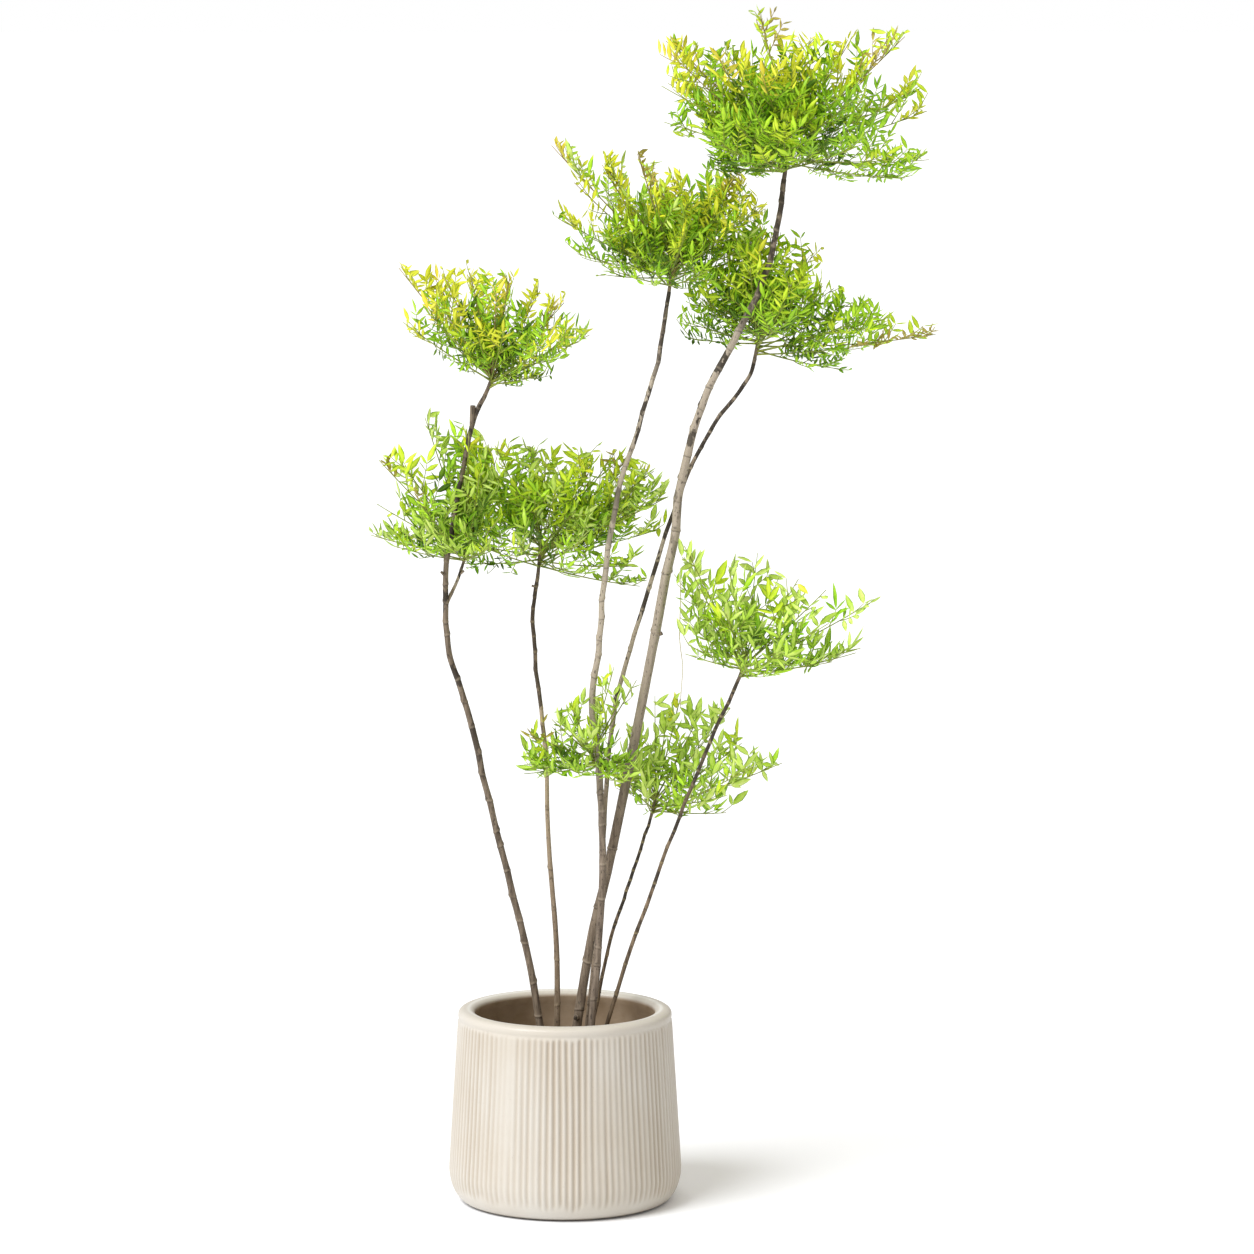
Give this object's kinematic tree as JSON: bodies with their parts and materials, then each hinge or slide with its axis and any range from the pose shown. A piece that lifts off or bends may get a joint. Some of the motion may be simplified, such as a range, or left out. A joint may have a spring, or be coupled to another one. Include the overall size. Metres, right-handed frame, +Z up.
{
  "type": "potted heavenly bamboo",
  "caption": "Heavenly bamboo shrub with bare upright canes and feathery green crowns, in a ribbed cream ceramic pot.",
  "frame": {"origin": "centre of the flat underside of the pot, on the floor", "axes": "+Z up along the canes, +X to the viewer's right, -Y towards the viewer"},
  "size_m": [0.8681, 0.3794, 1.8361],
  "materials": {
    "pot": "matte cream glaze",
    "soil": "loose dark potting soil",
    "bark": "grey-brown bark with pale and dark blotches",
    "foliage": "satin leaves, lime green with yellow tops"
  },
  "bodies": {
    "root": {"pot": "pot", "soil": "soil", "cane_left": "bark", "cane_slender": "bark", "cane_middle": "bark", "cane_tall": "bark", "cane_behind": "bark", "cane_short": "bark", "cane_right": "bark", "bough_left": "bark", "foliage_top": "foliage", "foliage_upper_middle": "foliage", "foliage_upper_right": "foliage", "foliage_upper_left": "foliage", "foliage_left": "foliage", "foliage_centre": "foliage", "foliage_right": "foliage", "foliage_low": "foliage", "foliage_shoot": "foliage"}
  },
  "joints": []
}
